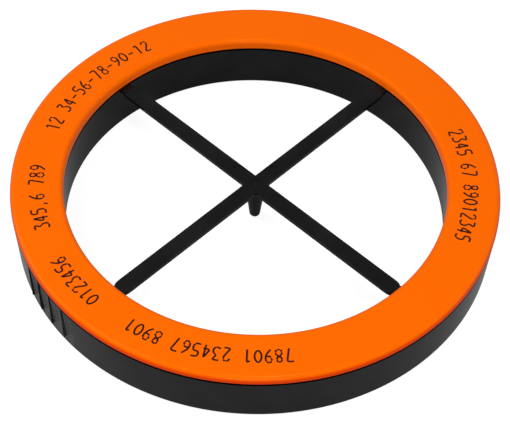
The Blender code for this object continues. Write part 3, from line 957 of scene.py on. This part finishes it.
def makeCross(material):
    shape = hubShape
    over = workshop["overrun"]
    cross = makeArms()
    onRidge = raiseCrowns(cross)
    combine(cross, ribTool(), "UNION")
    combine(cross, pegTool(), "UNION")
    mark = disc("ejector_marks", shape["markRadius"], (shape["markDistance"], 0),
                armTop - shape["markDepth"], armTop + over, shape["markSides"])
    combine(cross, copiesRound(mark, quarterTurns), "DIFFERENCE")
    floor = armTop - shape["recessDepth"]
    combine(cross, disc("hub_recess", shape["recessRadius"], (0, 0), floor, armTop + over,
                        shape["recessSides"]), "DIFFERENCE")
    rise = shape["recessDepth"] / 2  # how far each cone stands into the recess
    for radius, depth in shape["dimpleCones"]:
        startFresh()
        bpy.ops.mesh.primitive_cone_add(
            vertices=shape["recessSides"], radius1=0, radius2=radius * (1 + rise / depth),
            depth=depth + rise, location=(0, 0, floor + rise - (depth + rise) / 2))
        combine(cross, named("hub_dimple"), "DIFFERENCE")
    smooth(cross, armShape["smoothDeg"], onRidge)
    cross.data.transform(turnAbout(armShape["firstDeg"]))
    dress(cross, material, "black_plastic", "cross")


# The figures printed on the lid

printShape = {
    "height": 0.0064,
    "width": 0.0027,
    "stroke": 0.00084,
    "cornerShare": 0.16,      # of the height
    "cornerSteps": 3,
    "tubeSteps": 2,
    "pitchDeg": 2.51,
    "relief": 0.05,           # share of the stroke's thickness that is kept
    "smoothDeg": 60,
}
figureStrokes = {             # across and up, as shares of a figure's width and height
    "0": [(0.5, 1), (0, 0.72), (0, 0.28), (0.5, 0), (1, 0.28), (1, 0.72), (0.5, 1)],
    "1": [(0.15, 0.82), (0.6, 1), (0.6, 0)],
    "2": [(0, 0.78), (0.2, 1), (0.85, 1), (1, 0.72), (0, 0), (1, 0)],
    "3": [(0, 1), (1, 1), (0.42, 0.6), (1, 0.5), (1, 0.1), (0.5, 0), (0, 0.12)],
    "4": [(0.72, 0), (0.72, 1), (0, 0.3), (1, 0.3)],
    "5": [(1, 1), (0.06, 1), (0, 0.58), (0.9, 0.6), (1, 0.2), (0.7, 0), (0, 0.06)],
    "6": [(0.85, 1), (0.12, 0.62), (0, 0.2), (0.3, 0), (0.8, 0), (1, 0.25), (0.8, 0.52),
          (0.08, 0.48)],
    "7": [(0, 1), (1, 1), (0.4, 0)],
    "8": [(0.5, 0.55), (0.08, 0.68), (0.08, 0.92), (0.5, 1), (0.92, 0.92), (0.92, 0.68),
          (0.5, 0.55), (0, 0.38), (0, 0.1), (0.5, 0), (1, 0.1), (1, 0.38), (0.5, 0.55)],
    "9": [(0.15, 0), (0.88, 0.38), (1, 0.8), (0.7, 1), (0.2, 1), (0, 0.75), (0.2, 0.48),
          (0.92, 0.52)],
    "-": [(0.05, 0.46), (0.95, 0.46)],
    ",": [(0.55, 0.08), (0.35, -0.16)],
}
printLines = {                # the azimuth of the first figure, and the baseline's radius
    "figures_upper_left": {"text": "12 34-56-78-90-12", "startDeg": 162.4, "radius": 0.0898},
    "figures_left": {"text": "345,6 789", "startDeg": 197.5, "radius": 0.0904},
    "figures_lower_left": {"text": "0123456", "startDeg": 224.8, "radius": 0.0907},
    "figures_bottom": {"text": "78901 234567 8901", "startDeg": 277.2, "radius": 0.0907},
    "figures_right": {"text": "2345 67 89012345", "startDeg": 16.0, "radius": 0.0889},
}


def figureMesh(stroke):
    # a vertex extruded from point to point, its corners rounded, then a tube pressed flat
    shape = printShape
    points = [Vector(((across - 0.5) * shape["width"], up * shape["height"], 0))
              for across, up in stroke]
    startFresh()
    bpy.ops.mesh.primitive_plane_add(size=shape["stroke"], location=points[0])
    wire = named("stroke")
    pickAll(wire)
    bpy.ops.mesh.merge(type="CENTER")
    for start, end in zip(points, points[1:]):
        bpy.ops.mesh.extrude_vertices_move(TRANSFORM_OT_translate={"value": end - start})
    bpy.ops.mesh.select_all(action="SELECT")
    bpy.ops.mesh.remove_doubles(threshold=workshop["mergeWithin"])
    bpy.ops.mesh.bevel(offset=shape["cornerShare"] * shape["height"],
                       segments=shape["cornerSteps"], affect="VERTICES")
    activate(wire)
    bpy.ops.object.convert(target="CURVE")
    drawn = bpy.context.active_object
    drawn.data.bevel_depth = shape["stroke"] / 2
    drawn.data.bevel_resolution = shape["tubeSteps"]
    drawn.data.use_fill_caps = True
    bpy.ops.object.convert(target="MESH")
    drawn = bpy.context.active_object
    pickAll(drawn)
    bpy.ops.transform.resize(value=(1, 1, shape["relief"]), center_override=(0, 0, 0))
    bpy.ops.mesh.normals_make_consistent(inside=False)
    leaveEdit()
    mesh = drawn.data.copy()
    bpy.data.objects.remove(drawn, do_unlink=True)
    return mesh


def makePrint(material):
    meshes = {figure: figureMesh(stroke) for figure, stroke in figureStrokes.items()}
    for name, line in printLines.items():
        copies = []
        for i, figure in enumerate(line["text"]):
            if figure == " ":
                continue
            angle = math.radians(line["startDeg"] - printShape["pitchDeg"] * i)
            spot = Vector((line["radius"] * math.cos(angle), line["radius"] * math.sin(angle),
                           lidTop))
            turn = Matrix.Rotation(angle - math.radians(90), 4, "Z")
            copies.append(addCopy(name, meshes[figure], Matrix.Translation(spot) @ turn))
        joined = joinInto(copies[0], copies[1:])
        smooth(joined, printShape["smoothDeg"])
        dress(joined, material, "black_plastic")


# The pieces in the channel

innerLooks = {
    "copper": {"colour": tint(0.42, 0.13, 0.045), "otherColour": tint(0.60, 0.22, 0.08),
               "scale": 900.0, "roughness": 0.36, "metallic": 0.9},
    "tape": {"colour": tint(0.72, 0.50, 0.06), "otherColour": tint(0.64, 0.42, 0.05),
             "scale": 260.0, "roughness": 0.45},
    "laminate": {"colour": tint(0.015, 0.13, 0.045), "otherColour": tint(0.03, 0.20, 0.07),
                 "scale": 420.0, "roughness": 0.40},
    "chip": {"colour": tint(0.025, 0.025, 0.028), "otherColour": tint(0.04, 0.04, 0.042),
             "scale": 1500.0, "roughness": 0.55},
    "case": {"colour": tint(0.52, 0.045, 0.02), "otherColour": tint(0.40, 0.03, 0.015),
             "scale": 500.0, "roughness": 0.30},
    "ceramic": {"colour": tint(0.50, 0.34, 0.18), "otherColour": tint(0.42, 0.28, 0.15),
                "scale": 1200.0, "roughness": 0.55},
}
innerShape = {
    "flatWithinDeg": 0.5,
    "edgeFromDeg": 30,        # edges sharper than this are softened
    "softEdgeSteps": 2,
    "smoothDeg": 40,
}
innerPieces = {
    "winding": {"nodes": ["coil"], "look": "copper", "slot": "copper_wire", "softEdge": 0},
    "tape_band": {"nodes": [f"coil_tape_{i}" for i in range(1, 9)], "look": "tape",
                  "slot": "yellow_tape", "softEdge": 0.00008},
    "board": {"nodes": ["circuit_board"], "look": "laminate", "slot": "board_laminate",
              "softEdge": 0.0001},
    "chip": {"nodes": ["marker_chip"], "look": "chip", "slot": "chip_moulding",
             "softEdge": 0.00006},
    "tuning_capacitor": {"nodes": ["main_capacitor"], "look": "case", "slot": "capacitor_case",
                         "softEdge": 0.0003},
    "trimmer": {"nodes": [f"trim_capacitor_{i}" for i in range(1, 4)], "look": "ceramic",
                "slot": "ceramic", "softEdge": 0.00006},
    "wire_end": {"nodes": ["coil_lead_start", "coil_lead_end"], "look": "copper",
                 "slot": "copper_wire", "softEdge": 0},
}


def refinedCopy(node, name, softEdge):
    # the node's own shape with its flat faces made whole and its edges softened
    piece = addCopy(name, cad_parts[node].data)
    pickAll(piece)
    bpy.ops.mesh.remove_doubles(threshold=workshop["mergeWithin"])
    bpy.ops.mesh.dissolve_limited(angle_limit=math.radians(innerShape["flatWithinDeg"]))
    leaveEdit()
    if softEdge:
        finishWith(piece, "softEdges", "BEVEL", {
            "width": softEdge, "segments": innerShape["softEdgeSteps"],
            "limit_method": "ANGLE", "angle_limit": math.radians(innerShape["edgeFromDeg"])})
    smooth(piece, innerShape["smoothDeg"])
    return piece


def makeInnerPieces():
    finishes = {look: plainFinish(f"{look}_finish", **values)
                for look, values in innerLooks.items()}
    for name, piece in innerPieces.items():
        for i, node in enumerate(piece["nodes"]):
            label = f"{name}_{i + 1}" if len(piece["nodes"]) > 1 else name
            copy = refinedCopy(node, label, piece["softEdge"])
            dress(copy, finishes[piece["look"]], piece["slot"], node)


makeLid(orangePlastic())
print("cable marker: lid modelled")
makeHousing(blackPlastic("housing_plastic", housingLook))
print("cable marker: housing modelled")
makeCross(blackPlastic("cross_plastic", crossLook))
print("cable marker: cross modelled")
makePrint(printInk())
print("cable marker: figures printed")
makeInnerPieces()
print("cable marker: coil and board dressed")
